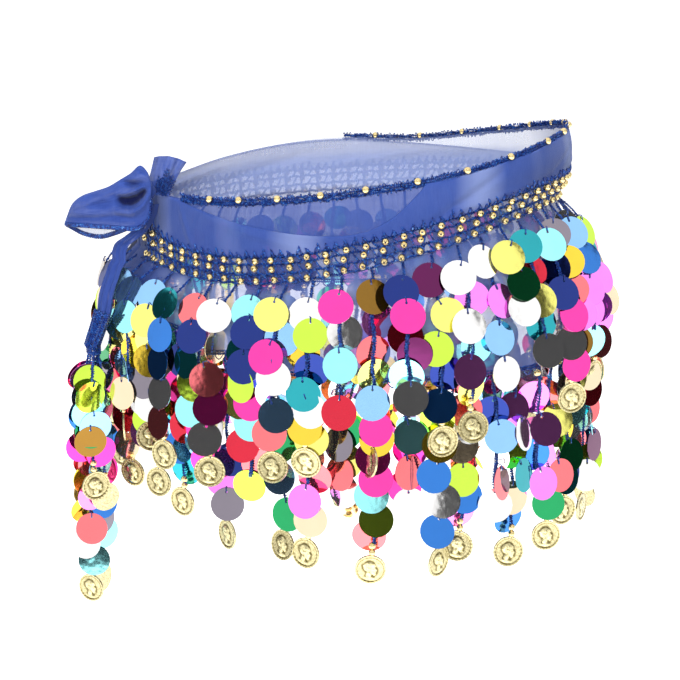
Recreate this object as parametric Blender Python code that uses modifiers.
"""Belly dance hip scarf: a strip of sheer chiffon wrapped round the hips and knotted at one side,
with a crocheted bead band and two tiers of paillette fringe. Metres, +Z up.

The origin is the middle of the hoop, level with the bead band. The front faces -Y and the knot is
on the -X side of it. Angles run round the hoop in degrees: 0 is +X, 90 the back, -90 the front.
"""

from collections import namedtuple
from math import cos, exp, pi, radians, sin

import bmesh
import bpy
from mathutils import Vector

COLLECTION_NAME = "belly_dance_hip_scarf"
MM = 0.001

# The hoop that the strip makes round the hips.
HOOP_HALF_WIDTH = 0.152
HOOP_HALF_DEPTH = 0.126
FRONT_END, BACK_END = -150, 203  # where the strip's two ends stop, just past the knot
COLUMNS = 72
HEM_ROWS, TOP_ROWS = 4, 3

# Cloth, seams and trims.
CLOTH = 0.0013
GAP = 0.0003
PLY_GAP = 0.0006
FOLD_DEPTH = 0.005
FOLD_COUNTS = (13, 19)
BAND_LOW, BAND_MIDDLE, BAND_HIGH = -0.0015, 0.006, 0.014
BAND_THICKNESS = 0.0022
EDGING_RADIUS = 0.0016
EDGING_START, EDGING_END = -117, 115

# The hoop's heights in millimetres at each angle, with its waist, rim flare and hip as factors.
Station = namedtuple("Station", "angle waist flare hip rim band hem")
STATIONS = [
    Station(-150, 1.040, 0.000, 1.150, 12, -25, -50),
    Station(-130, 1.025, 0.005, 1.150, 16, -27, -57),
    Station(-108, 1.005, 0.020, 1.150, 16, -32, -68),
    Station(-88, 1.000, 0.028, 1.150, 20, -29, -82),
    Station(-66, 1.000, 0.030, 1.150, 28, -17, -85),
    Station(-46, 1.000, 0.032, 1.145, 37, -3, -84),
    Station(-26, 0.958, 0.056, 1.120, 47, 9, -83),
    Station(-5, 0.912, 0.064, 1.090, 54, 13.5, -78),
    Station(20, 0.900, 0.070, 1.070, 57, 12, -73),
    Station(45, 0.935, 0.062, 1.080, 52, 9, -72),
    Station(70, 0.980, 0.042, 1.110, 43, 5, -75),
    Station(95, 1.000, 0.030, 1.140, 34, 0, -79),
    Station(120, 1.005, 0.026, 1.150, 33, -5, -80),
    Station(148, 1.015, 0.018, 1.150, 23, -10, -74),
    Station(175, 1.030, 0.008, 1.150, 11, -16, -64),
    Station(203, 1.040, 0.000, 1.150, 11, -23, -52),
]

# The doubled plies that lie over the strip: their upper edges' heights in millimetres.
PlyEdge = namedtuple("PlyEdge", "angle top")
FRONT_PLY = [
    PlyEdge(-136, 15),
    PlyEdge(-121, 16),
    PlyEdge(-111, 11.5),
    PlyEdge(-95, 4),
    PlyEdge(-80, 0.5),
    PlyEdge(-68, 3),
    PlyEdge(-61, 12),
    PlyEdge(-55, 27),
    PlyEdge(-49, 42),
    PlyEdge(26, 60),
]
BACK_PLY = [
    PlyEdge(52, 31),
    PlyEdge(66, 29),
    PlyEdge(86, 30),
    PlyEdge(104, 31.5),
    PlyEdge(118, 32),
    PlyEdge(135, 28),
    PlyEdge(150, 21.5),
    PlyEdge(175, 10.5),
    PlyEdge(203, 10.5),
]
FRONT_PLY_COLUMNS = (3, 36)
BACK_PLY_COLUMNS = (42, 72)

# The fringe: strands of crocheted chain with paillettes, and on most a coin below two beads.
PAILLETTE = 0.022
COIN = 0.020
COIN_BEADS = 0.006
PAILLETTES = 4
STRAND_DEPTH = 0.0034
CHAIN_WIDTH = 0.0034
STRAND_SWAY = 0.0018
SETTLE = 0.008
PAILLETTE_SHIFT = 0.0028
Tier = namedtuple("Tier", "name strands length spread chain outs")
UPPER_TIER = Tier("upper_fringe", 52, 0.119, 0.008, 0.018, (0.0060, 0.0110))
LOWER_TIER = Tier("lower_fringe", 52, 0.120, 0.011, 0.023, (0.0005, -0.0055))
COINLESS = (1, 3)  # of every five strands, those that end in a paillette
ROOT_HALF = 0.14  # half a strand's root, as a share of the strands' spacing
STRIP_MARGIN = 0.4  # degrees left bare at each end of a fringe's backing strip
BACKING_HEIGHT = 0.0022
HEM_STRIP_HEIGHT = 0.0036
HEM_STRIP_THICKNESS = 0.0026

# The knot, with its half sizes outwards, along the hoop and up.
KNOT_ANGLE, KNOT_OUT, KNOT_HEIGHT = -124, 0.0122, 0.019
KNOT_HALF = (0.0110, 0.0078, 0.0096)

# The bow's loop, a hood of cloth that stands out from the knot and hangs open below. Millimetres:
# how far it reaches from the knot, its ridge, its front and back lower edges and its half depth.
BowSection = namedtuple("BowSection", "reach ridge front back half_depth")
BOW_DIRECTION = Vector((-0.92, -0.39, 0))
BOW_SECTIONS = [
    BowSection(10.1, 7, -8, -7, 3.0),
    BowSection(13, 13.5, -19, -18, 6.0),
    BowSection(18, 8, -23, -24, 8.5),
    BowSection(28, 2, -23, -28, 10.5),
    BowSection(38, -2.5, -22.5, -30, 10.5),
    BowSection(47, -4.5, -22, -27.5, 8.5),
    BowSection(53, -9, -22, -24.5, 5.5),
    BowSection(57, -16.5, -21.5, -22.5, 2.5),
]
BOW_STEPS = 10

# The short upper end, a fan of cloth that stands above the rim beside the knot. Millimetres from
# the knot's middle: along the view of its face, up, and the ends of each row.
FanRow = namedtuple("FanRow", "left left_up right right_up lean")
FAN_ROWS = [
    FanRow(6.2, 6.6, 15.5, 3.6, 0),
    FanRow(4.6, 11, 18.5, 7.5, 1.5),
    FanRow(3.6, 17, 21.5, 13, 2),
    FanRow(3.2, 22.2, 24.5, 18.8, 0.5),
]
FAN_STEPS = 8
FAN_ACROSS = Vector((0.88, 0.475, 0))
FAN_DEPTH = 0.0042

# The long lower end hangs from the knot over the fringe, gathered into pleats. Angle in degrees,
# height, distance out from the hoop and width in millimetres.
TailSection = namedtuple("TailSection", "angle height out width")
TAIL_SECTIONS = [
    TailSection(-124.5, 10.3, 7.5, 9),
    TailSection(-126.8, 1, 5.2, 10.5),
    TailSection(-128.3, -7, 8.2, 11.5),
    TailSection(-129.2, -12.5, 15, 13.5),
    TailSection(-130, -18, 22, 17),
    TailSection(-130.2, -28, 24.5, 20),
    TailSection(-129.4, -40, 20.5, 20),
    TailSection(-129.2, -56, 18.6, 19),
    TailSection(-131, -71, 20.2, 17),
    TailSection(-134.2, -86, 21.6, 15),
]
TAIL_STEPS = 8
TAIL_RINGS = 19
TAIL_PLEAT = 0.0035
TAIL_FRINGE_ANGLE = -140
TAIL_LENGTHS = (0.108, 0.182)
TAIL_PAILLETTES = (4, 7)
TAIL_SPREAD = 0.006
TAIL_CHAIN = 0.018
TAIL_STRAND_WIDTH = 0.0072
TAIL_STRAND_SPACING = 0.0044
TAIL_STRAND_DEPTH = 0.0045
TAIL_HEAD_HALF = (0.0075, 0.004, 0.0022)

CHIFFON_BLUE = (0.055, 0.095, 0.42)
THREAD_BLUE = (0.012, 0.028, 0.16)
PAILLETTE_COLOUR = (0.30, 0.42, 0.75)
LOWER_PAILLETTE_COLOUR = (0.75, 0.14, 0.42)
GOLD = (0.78, 0.55, 0.16)


def material(name, colour, roughness, metallic=0.0):
    """A plain Principled material, one for each sub-part."""
    made = bpy.data.materials.new(name)
    made.use_nodes = True
    shader = made.node_tree.nodes["Principled BSDF"]
    shader.inputs["Base Color"].default_value = (*colour, 1)
    shader.inputs["Roughness"].default_value = roughness
    shader.inputs["Metallic"].default_value = metallic
    made.diffuse_color = (*colour, 1)
    return made


def place(name, points, faces, finish):
    """Makes a named object from a loft's points and faces, with its faces turned out."""
    mesh = bpy.data.meshes.new(name)
    mesh.from_pydata(points, [], faces)
    shell = bmesh.new()
    shell.from_mesh(mesh)
    bmesh.ops.recalc_face_normals(shell, faces=shell.faces)
    shell.to_mesh(mesh)
    shell.free()
    mesh.materials.append(finish)
    mesh.shade_smooth()
    piece = bpy.data.objects.new(name, mesh)
    collection.objects.link(piece)
    return piece


def read_table(rows, column, angle):
    """A smooth curve through one column of a table whose rows are in order of angle."""
    angles = [row.angle for row in rows]
    values = [getattr(row, column) for row in rows]
    angle = min(max(angle, angles[0]), angles[-1])
    k = max(i for i in range(len(rows) - 1) if angles[i] <= angle or i == 0)
    span = angles[k + 1] - angles[k]
    part = (angle - angles[k]) / span

    def slope(i):
        low, high = max(i - 1, 0), min(i + 1, len(rows) - 1)
        return (values[high] - values[low]) / (angles[high] - angles[low]) * span

    square, cube = part * part, part * part * part
    return (
        (2 * cube - 3 * square + 1) * values[k]
        + (cube - 2 * square + part) * slope(k)
        + (3 * square - 2 * cube) * values[k + 1]
        + (cube - square) * slope(k + 1)
    )


def station(angle, column):
    """A height of the hoop at an angle, in metres."""
    return read_table(STATIONS, column, angle) * MM


def outward(angle):
    """The level direction square to the hoop."""
    turn = radians(angle)
    return Vector((cos(turn) / HOOP_HALF_WIDTH, sin(turn) / HOOP_HALF_DEPTH, 0)).normalized()


def along(angle):
    """The level direction along the hoop, as the angle grows."""
    out = outward(angle)
    return Vector((-out.y, out.x, 0))


def hip_share(angle, height):
    """How far down the skirt a height lies: 0 at the bead band, 1 at the hem and below."""
    band, hem = station(angle, "band"), station(angle, "hem")
    return min(max((band - height) / (band - hem), 0), 1)


def fold(angle, height):
    """How deep the skirt's soft folds are pressed in at a place."""
    few, many = FOLD_COUNTS
    turn = radians(angle)
    wave = 0.5 + 0.3 * sin(few * turn + 1.3 * sin(2 * turn)) + 0.2 * sin(many * turn + 0.7)
    return FOLD_DEPTH * wave * hip_share(angle, height) ** 1.3


def hoop_point(angle, height, out=0.0):
    """A point on the hoop's smooth inner form, moved out from it."""
    waist = read_table(STATIONS, "waist", angle)
    band, rim = station(angle, "band"), station(angle, "rim")
    rise = min(max((height - band) / (rim - band), 0), 1)
    flare = read_table(STATIONS, "flare", angle) * sin(0.75 * pi * rise)
    spread = read_table(STATIONS, "hip", angle) - waist
    size = waist * (1 + flare) + spread * sin(hip_share(angle, height) * pi / 2)
    turn = radians(angle)
    point = Vector((HOOP_HALF_WIDTH * size * cos(turn), HOOP_HALF_DEPTH * size * sin(turn), height))
    return point + outward(angle) * out


def closed_wall(name, inner, outer, finish):
    """A wall between two grids of points, closed along its four edges."""
    rows, columns = len(inner), len(inner[0])
    points = [point for grid in (inner, outer) for row in grid for point in row]
    far = rows * columns

    def at(i, j):
        return i * columns + j

    faces = []
    for i in range(rows - 1):
        for j in range(columns - 1):
            quad = [at(i, j), at(i, j + 1), at(i + 1, j + 1), at(i + 1, j)]
            faces.append(quad)
            faces.append([far + k for k in reversed(quad)])
    border = [at(0, j) for j in range(columns)]
    border += [at(i, columns - 1) for i in range(1, rows)]
    border += [at(rows - 1, j) for j in range(columns - 2, -1, -1)]
    border += [at(i, 0) for i in range(rows - 2, 0, -1)]
    for k, low in enumerate(border):
        high = border[(k + 1) % len(border)]
        faces.append([high, low, far + low, far + high])
    return place(name, points, faces, finish)


def column_angle(index):
    """The angle of one of the strip's columns."""
    return FRONT_END + (BACK_END - FRONT_END) * index / COLUMNS


def hoop_wall(name, columns, heights, low_out, high_out, finish, folded=False):
    """A wall on the hoop, over a range of columns, with its rows' heights from a function."""
    inner, outer = [], []
    for index in range(columns[0], columns[1] + 1):
        angle = column_angle(index)
        levels = heights(angle)
        press = [fold(angle, z) if folded else 0 for z in levels]
        inner.append([hoop_point(angle, z, low_out - p) for z, p in zip(levels, press)])
        outer.append([hoop_point(angle, z, high_out - p) for z, p in zip(levels, press)])
    return closed_wall(name, inner, outer, finish)


def strip_heights(angle):
    """The chiffon strip's rows, from the hem past the bead band to the rim."""
    hem, band, rim = (station(angle, column) for column in ("hem", "band", "rim"))
    band_top = band + BAND_HIGH
    lower = [hem + (band - hem) * i / HEM_ROWS for i in range(HEM_ROWS + 1)]
    return lower + [band_top + (rim - band_top) * i / TOP_ROWS for i in range(TOP_ROWS + 1)]


def band_heights(angle):
    """The bead band's rows."""
    return [station(angle, "band") + level for level in (BAND_LOW, BAND_MIDDLE, BAND_HIGH)]


def ply_heights(table):
    """A function that gives a ply's rows, from just above the bead band to its upper edge."""

    def heights(angle):
        low = station(angle, "band") + BAND_HIGH + GAP
        top = min(read_table(table, "top", angle) * MM, station(angle, "rim") - GAP)
        top = max(top, low + 2 * MM)
        return [low + (top - low) * i / 3 for i in range(4)]

    return heights


def strand_rings(length, chain, count=PAILLETTES, width_factor=1.0, coin=True):
    """A strand from its root down: each ring's drop, half width and depth, and its disc's number."""
    rings = [(chain * 0.35, CHAIN_WIDTH / 2, STRAND_DEPTH * 0.6, 0)]
    rings.append((chain, CHAIN_WIDTH * 0.7, STRAND_DEPTH * 0.7, 0))
    coin_top = length - COIN - COIN_BEADS
    pitch = (coin_top - chain) / count
    for number in range(count):
        top = chain + number * pitch
        half = PAILLETTE / 2 * width_factor
        rings.append((top + pitch * 0.5, half, STRAND_DEPTH, number))
        if number < count - 1:
            rings.append((top + pitch * 0.98, half * 0.62, STRAND_DEPTH * 0.8, number))
    rings.append((coin_top + COIN_BEADS * 0.67, CHAIN_WIDTH / 2, STRAND_DEPTH * 0.7, 0))
    if not coin:
        return rings
    rings.append((length - COIN * 0.5, COIN / 2 * width_factor, STRAND_DEPTH * 0.6, 0))
    rings.append((length, COIN * 0.16, STRAND_DEPTH * 0.5, 0))
    return rings


def fringe(tier, finish, root_height, root_outs, strip_height, folded):
    """A narrow backing strip with three-sided strands grown from cells of its underside."""
    points, faces = [], []
    step = (BACK_END - FRONT_END) / tier.strands
    sections = []
    for number in range(tier.strands):
        for side in (-1, 1):
            middle = FRONT_END + step * (number + 0.5)
            sections.append(middle + side * step * ROOT_HALF)
    sections = [FRONT_END + STRIP_MARGIN] + sections + [BACK_END - STRIP_MARGIN]
    for angle in sections:
        top = root_height(angle)
        press = fold(angle, top) if folded else 0
        low_out, high_out = (out - press for out in root_outs)
        bottom = top - strip_height
        for height, out in ((bottom, low_out), (bottom, high_out), (top, high_out), (top, low_out)):
            points.append(hoop_point(angle, height, out))
    last = 4 * (len(sections) - 1)
    faces.append([0, 1, 2, 3])
    faces.append([last + 3, last + 2, last + 1, last])
    for cell in range(len(sections) - 1):
        a, b = 4 * cell, 4 * (cell + 1)
        for side in (1, 2, 3):
            here, there = side, (side + 1) % 4
            faces.append([a + here, b + here, b + there, a + there])
        if cell % 2 == 0:
            faces.append([a, b, b + 1, a + 1])
            continue
        faces.append([a, b + 1, a + 1])
        number = cell // 2
        angle = FRONT_END + step * (number + 0.5)
        wobble = sin(number * 2.4) * STRAND_SWAY
        length = tier.length + tier.spread * sin(number * 3.7 + 1)
        top = root_height(angle) - strip_height
        ring = [a, b, b + 1]
        for drop, half, depth, disc in strand_rings(length, tier.chain, coin=number % 5 not in COINLESS):
            settle = 1 - exp(-((drop / SETTLE) ** 1.5))
            rest = sum(root_outs) / 2 - (fold(angle, top) if folded else 0)
            out = rest + (tier.outs[number % 2] - rest) * settle
            shift = wobble * drop / length + (PAILLETTE_SHIFT if disc % 2 else -PAILLETTE_SHIFT) * (
                half > CHAIN_WIDTH
            )
            middle = hoop_point(angle, top - drop, out) + along(angle) * shift
            start = len(points)
            points.append(middle - along(angle) * half)
            points.append(middle + along(angle) * half)
            points.append(middle + outward(angle) * depth)
            fresh = [start, start + 1, start + 2]
            for side in range(3):
                there = (side + 1) % 3
                faces.append([ring[side], ring[there], fresh[there], fresh[side]])
            ring = fresh
        faces.append(ring)
    return place(tier.name, points, faces, finish)


def edging():
    """The crocheted cord along the rim, from beside the knot round the front, right and back."""
    first = next(i for i in range(COLUMNS) if column_angle(i) >= EDGING_START)
    last = next(i for i in range(COLUMNS) if column_angle(i) >= EDGING_END)
    curve = bpy.data.curves.new("rim_edging", "CURVE")
    curve.dimensions = "3D"
    curve.bevel_depth = EDGING_RADIUS
    curve.bevel_resolution = 1
    curve.use_fill_caps = True
    spline = curve.splines.new("POLY")
    spline.points.add(last - first)
    for k, index in enumerate(range(first, last + 1)):
        angle = column_angle(index)
        height = station(angle, "rim")
        centre = hoop_point(angle, height, CLOTH / 2)
        spline.points[k].co = (centre.x, centre.y, height + GAP + EDGING_RADIUS, 1)
    curve.materials.append(material("crochet_thread", THREAD_BLUE, 0.6))
    piece = bpy.data.objects.new("rim_edging", curve)
    collection.objects.link(piece)


def solid_sheet(name, grid, finish, thickness=CLOTH):
    """An open sheet of cloth, thickened evenly to both sides."""
    rows, columns = len(grid), len(grid[0])
    points = [point for row in grid for point in row]
    faces = [
        [i * columns + j, i * columns + j + 1, (i + 1) * columns + j + 1, (i + 1) * columns + j]
        for i in range(rows - 1)
        for j in range(columns - 1)
    ]
    piece = place(name, points, faces, finish)
    thick = piece.modifiers.new("cloth", "SOLIDIFY")
    thick.thickness = thickness
    thick.offset = 0
    return piece


def knot_centre():
    """The middle of the knot."""
    return hoop_point(KNOT_ANGLE, KNOT_HEIGHT, KNOT_OUT)


def knot():
    """A rounded knot with soft wraps, flat where it lies on the front ply."""
    bpy.ops.mesh.primitive_uv_sphere_add(segments=14, ring_count=9, radius=1)
    piece = bpy.context.object
    piece.name = piece.data.name = "knot"
    for holder in list(piece.users_collection):
        holder.objects.unlink(piece)
    collection.objects.link(piece)
    back = -(KNOT_OUT - (2 * CLOTH + PLY_GAP + GAP))
    side, out = along(KNOT_ANGLE), outward(KNOT_ANGLE)
    for vertex in piece.data.vertices:
        x, y, z = vertex.co
        wrap = 1 - 0.07 * (1 + sin(5 * (z + 0.5 * y)))
        depth, across, up = (value * half * wrap for value, half in zip((x, y, z), KNOT_HALF))
        depth = max(depth, back)
        vertex.co = knot_centre() + side * across + out * depth + Vector((0, 0, up))
    piece.data.materials.append(material("knotted_chiffon", CHIFFON_BLUE, 0.75))
    piece.data.shade_smooth()


def bow_loop():
    """The bow's hood of cloth: each section is an arch with a rounded ridge and two hanging legs."""
    direction = BOW_DIRECTION.normalized()
    behind = Vector((direction.y, -direction.x, 0))
    grid = []
    for section in BOW_SECTIONS:
        row = []
        for step in range(BOW_STEPS + 1):
            turn = pi * (step / BOW_STEPS - 0.5)
            leg = section.front if step < BOW_STEPS / 2 else section.back
            height = leg + (section.ridge - leg) * max(cos(turn), 0) ** 0.55
            depth = section.half_depth * sin(turn)
            level = Vector((0, 0, height * MM))
            row.append(knot_centre() + direction * section.reach * MM + behind * depth * MM + level)
        grid.append(row)
    solid_sheet("bow_loop", grid, material("bow_chiffon", CHIFFON_BLUE, 0.75))


def upper_end():
    """The short end of the strip, fanned out above the rim."""
    across = FAN_ACROSS.normalized()
    behind = Vector((-across.y, across.x, 0))
    grid = []
    for fan in FAN_ROWS:
        row = []
        for step in range(FAN_STEPS + 1):
            part = step / FAN_STEPS
            side = fan.left + (fan.right - fan.left) * part
            level = fan.left_up + (fan.right_up - fan.left_up) * part
            wave = fan.lean * sin(2 * pi * part + 0.6)
            offset = across * side * MM + behind * (wave * MM + FAN_DEPTH)
            row.append(knot_centre() + offset + Vector((0, 0, level * MM)))
        grid.append(row)
    solid_sheet("upper_end", grid, material("upper_end_chiffon", CHIFFON_BLUE, 0.75))


def tail_point(share, column):
    """A value of the tail's table, part of the way from the knot to its end."""
    place_in_table = share * (len(TAIL_SECTIONS) - 1)
    k = min(int(place_in_table), len(TAIL_SECTIONS) - 2)
    low, high = (getattr(TAIL_SECTIONS[i], column) for i in (k, k + 1))
    return low + (high - low) * (place_in_table - k)


def tail():
    """The long end, gathered across its width into three standing pleats."""
    grid = []
    for ring in range(TAIL_RINGS):
        share = ring / (TAIL_RINGS - 1)
        angle, height, out, width = (
            tail_point(share, column) for column in ("angle", "height", "out", "width")
        )
        middle = hoop_point(angle, height * MM, out * MM)
        row = []
        for step in range(TAIL_STEPS + 1):
            part = step / TAIL_STEPS
            pleat = TAIL_PLEAT * sin(3 * 2 * pi * part + 0.9 * sin(3 * share)) * (0.45 + 0.55 * share)
            row.append(
                middle + along(angle) * (part - 0.5) * width * MM + outward(angle) * (pleat + TAIL_PLEAT)
            )
        grid.append(row)
    solid_sheet("tail_end", grid, material("tail_chiffon", CHIFFON_BLUE, 0.75))


def tail_fringe(finish):
    """The tail's head of thread, with six strands grown from cells of its underside."""
    last = TAIL_SECTIONS[-1]
    half_across, half_deep, half_up = TAIL_HEAD_HALF
    head_middle = last.height * MM - 1.5 * GAP - half_up
    across, out = along(last.angle), outward(last.angle)
    centre = hoop_point(last.angle, last.height * MM, last.out * MM + TAIL_PLEAT)
    centre.z = head_middle
    lean = hoop_point(TAIL_FRINGE_ANGLE, centre.z) - hoop_point(last.angle, centre.z)
    cells = 6
    points, faces = [], []

    def grid_index(level, row, column):
        return (level * 3 + row) * (cells + 1) + column

    for level in (-1, 1):
        for row in (-1, 0, 1):
            for column in range(cells + 1):
                shift = across * half_across * (column / cells * 2 - 1) + out * half_deep * row
                points.append(centre + shift + Vector((0, 0, half_up * level)))
    for row in range(2):
        for column in range(cells):
            low = [grid_index(0, row + i, column + j) for i, j in ((0, 0), (0, 1), (1, 1), (1, 0))]
            faces.append([index + 3 * (cells + 1) for index in low])
            if (row + column) % 2:
                faces.append(low)
                continue
            faces.append([low[0], low[2], low[3]])
            side = (column - (cells - 1) / 2) * TAIL_STRAND_SPACING
            depth = TAIL_STRAND_DEPTH if row else -TAIL_STRAND_DEPTH
            root_side = ((column + 0.5) / cells * 2 - 1) * half_across
            root_depth = (row - 0.5) * half_deep
            tier = column // 2 % 2
            length = TAIL_LENGTHS[tier] + TAIL_SPREAD * sin(column * 2.1)
            ring = low[:3]
            rings = strand_rings(
                length, TAIL_CHAIN, TAIL_PAILLETTES[tier], TAIL_STRAND_WIDTH / PAILLETTE
            )
            for drop, half, thick, _ in rings:
                settle = min(drop / TAIL_CHAIN, 1)
                middle = centre + lean * drop / TAIL_LENGTHS[1] + Vector((0, 0, -half_up - drop))
                middle += across * (root_side + (side - root_side) * settle)
                middle += out * (root_depth + (depth - root_depth) * settle)
                start = len(points)
                points.append(middle - across * half)
                points.append(middle + across * half)
                points.append(middle + out * thick)
                fresh = [start, start + 1, start + 2]
                for k in range(3):
                    faces.append([ring[k], ring[(k + 1) % 3], fresh[(k + 1) % 3], fresh[k]])
                ring = fresh
            faces.append(ring)
    rim = [grid_index(0, 0, j) for j in range(cells + 1)]
    rim += [grid_index(0, 1, cells), grid_index(0, 2, cells)]
    rim += [grid_index(0, 2, j) for j in range(cells - 1, -1, -1)] + [grid_index(0, 1, 0)]
    for k, low in enumerate(rim):
        high = rim[(k + 1) % len(rim)]
        above = 3 * (cells + 1)
        faces.append([low, high, high + above, low + above])
    place("tail_fringe", points, faces, finish)


for thing in list(bpy.data.objects):
    bpy.data.objects.remove(thing)
collection = bpy.data.collections.new(COLLECTION_NAME)
bpy.context.scene.collection.children.link(collection)

wall_out = CLOTH + GAP
chiffon = material("chiffon", CHIFFON_BLUE, 0.75)
hoop_wall("chiffon_strip", (0, COLUMNS), strip_heights, 0, CLOTH, chiffon, folded=True)
for ply_name, ply_columns, ply_table in (
    ("front_ply", FRONT_PLY_COLUMNS, FRONT_PLY),
    ("back_ply", BACK_PLY_COLUMNS, BACK_PLY),
):
    ply_finish = material(ply_name + "_chiffon", CHIFFON_BLUE, 0.75)
    ply_out = CLOTH + PLY_GAP
    hoop_wall(ply_name, ply_columns, ply_heights(ply_table), ply_out, ply_out + CLOTH, ply_finish)
band_finish = material("gold_beads", GOLD, 0.25, 1.0)
hoop_wall("bead_band", (0, COLUMNS), band_heights, wall_out, wall_out + BAND_THICKNESS, band_finish)
edging()
fringe(
    UPPER_TIER,
    material("upper_paillettes", PAILLETTE_COLOUR, 0.15),
    lambda angle: station(angle, "band") + BAND_LOW - GAP,
    (wall_out, wall_out + BAND_THICKNESS),
    BACKING_HEIGHT,
    False,
)
fringe(
    LOWER_TIER,
    material("lower_paillettes", LOWER_PAILLETTE_COLOUR, 0.15),
    lambda angle: station(angle, "hem") - GAP,
    (CLOTH / 2 - HEM_STRIP_THICKNESS / 2, CLOTH / 2 + HEM_STRIP_THICKNESS / 2),
    HEM_STRIP_HEIGHT,
    True,
)
knot()
bow_loop()
upper_end()
tail()
tail_fringe(material("tail_paillettes", PAILLETTE_COLOUR, 0.15))
